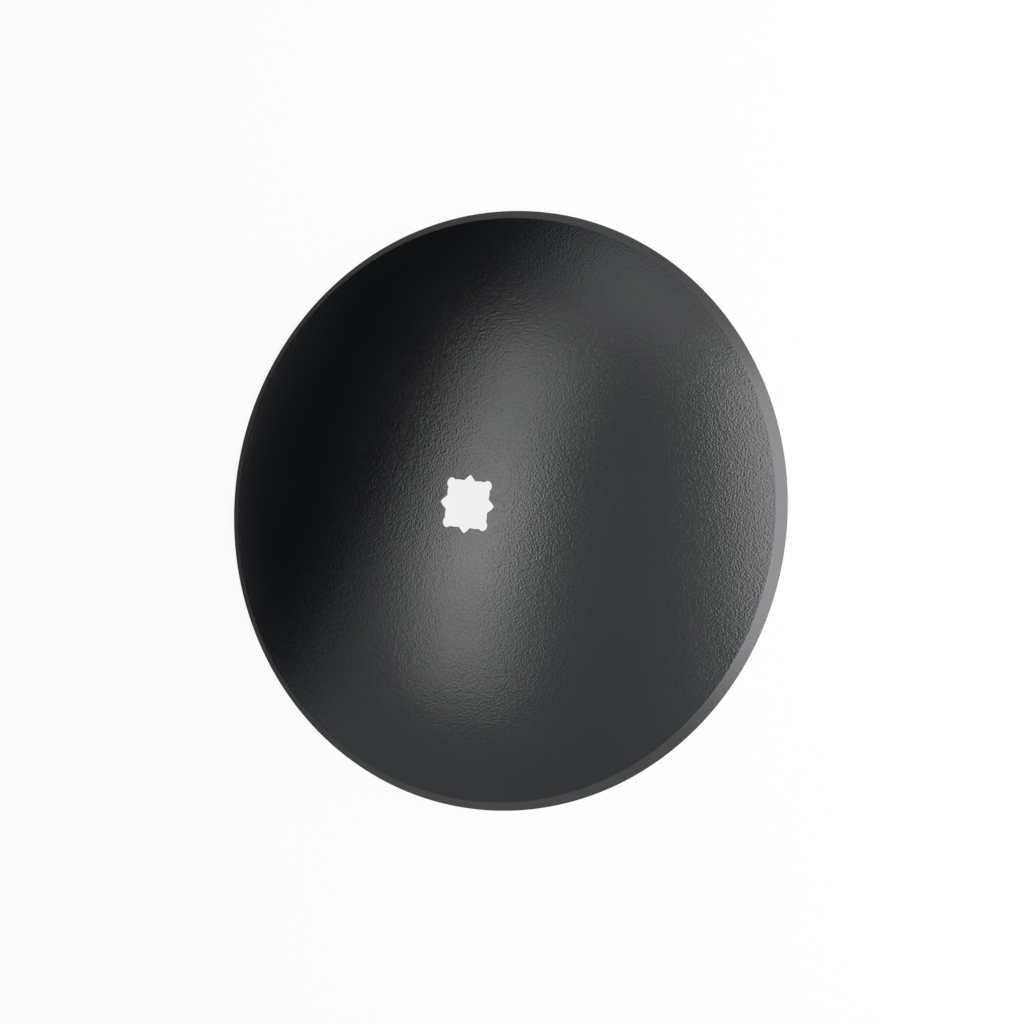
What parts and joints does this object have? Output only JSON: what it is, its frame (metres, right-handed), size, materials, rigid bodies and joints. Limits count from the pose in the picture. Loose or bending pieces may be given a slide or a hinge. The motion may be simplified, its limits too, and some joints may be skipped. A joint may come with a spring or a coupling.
{
  "type": "harrow disc blade",
  "caption": "Round concave steel blade for a disc harrow, with a bevelled rim and a star-shaped hole for a square axle bar.",
  "frame": {"origin": "on the axle's line, in the plane of the cutting edge on which the blade lies", "axes": "+Z along the axle's line towards the convex face; X and Y over the notches of the axle hole"},
  "size_m": [0.41, 0.41, 0.0487],
  "materials": {
    "black_paint": "satin black paint over blasted steel, thinner and greyer on the ground bevel"
  },
  "bodies": {
    "root": {"disc_blade": "black_paint"}
  },
  "joints": []
}
